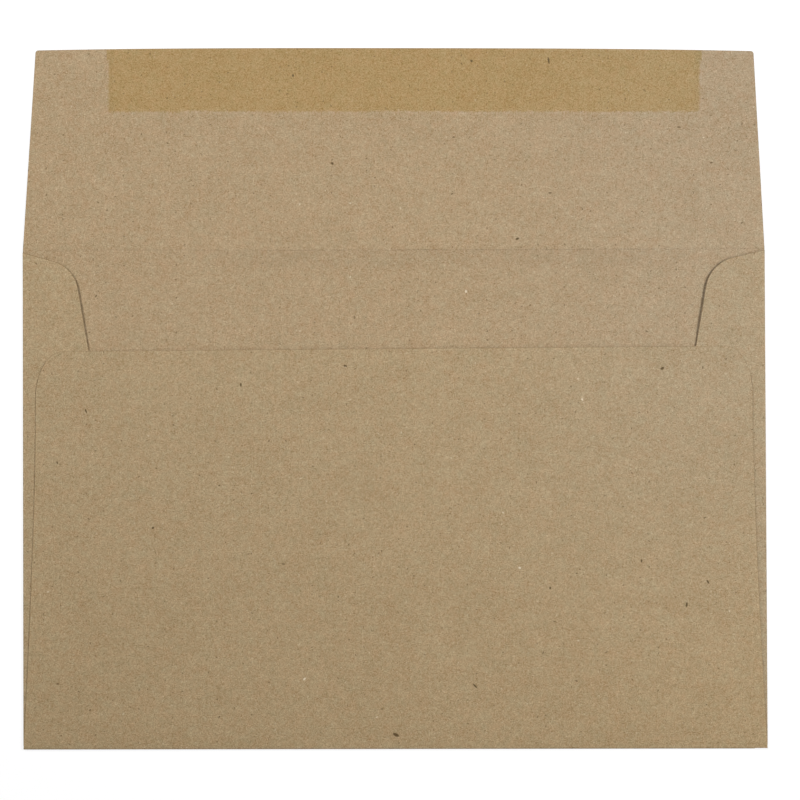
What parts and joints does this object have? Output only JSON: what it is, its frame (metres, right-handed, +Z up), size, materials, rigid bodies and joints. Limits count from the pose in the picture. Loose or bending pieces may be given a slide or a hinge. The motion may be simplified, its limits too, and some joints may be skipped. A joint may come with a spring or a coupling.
{
  "type": "paper envelope",
  "caption": "Open kraft paper envelope lying flat, with its large square seal flap unfolded, a gum band on the flap, folded-in side flaps and a bowed bottom flap.",
  "frame": {"origin": "middle of the open envelope's footprint, on the surface it lies on, under the address side", "axes": "+X along the envelope's width, +Y from the bottom fold towards the free edge of the seal flap, +Z up out of the face panel"},
  "size_m": [0.2064, 0.1944, 0.0013],
  "materials": {
    "kraft_paper": "uncoated brown kraft with dark and light flecks",
    "seal_gum": "dried remoistenable gum, faintly satin, ochre over the kraft"
  },
  "bodies": {
    "root": {"envelope_sheet": "kraft_paper", "seal_gum": "seal_gum"}
  },
  "joints": []
}
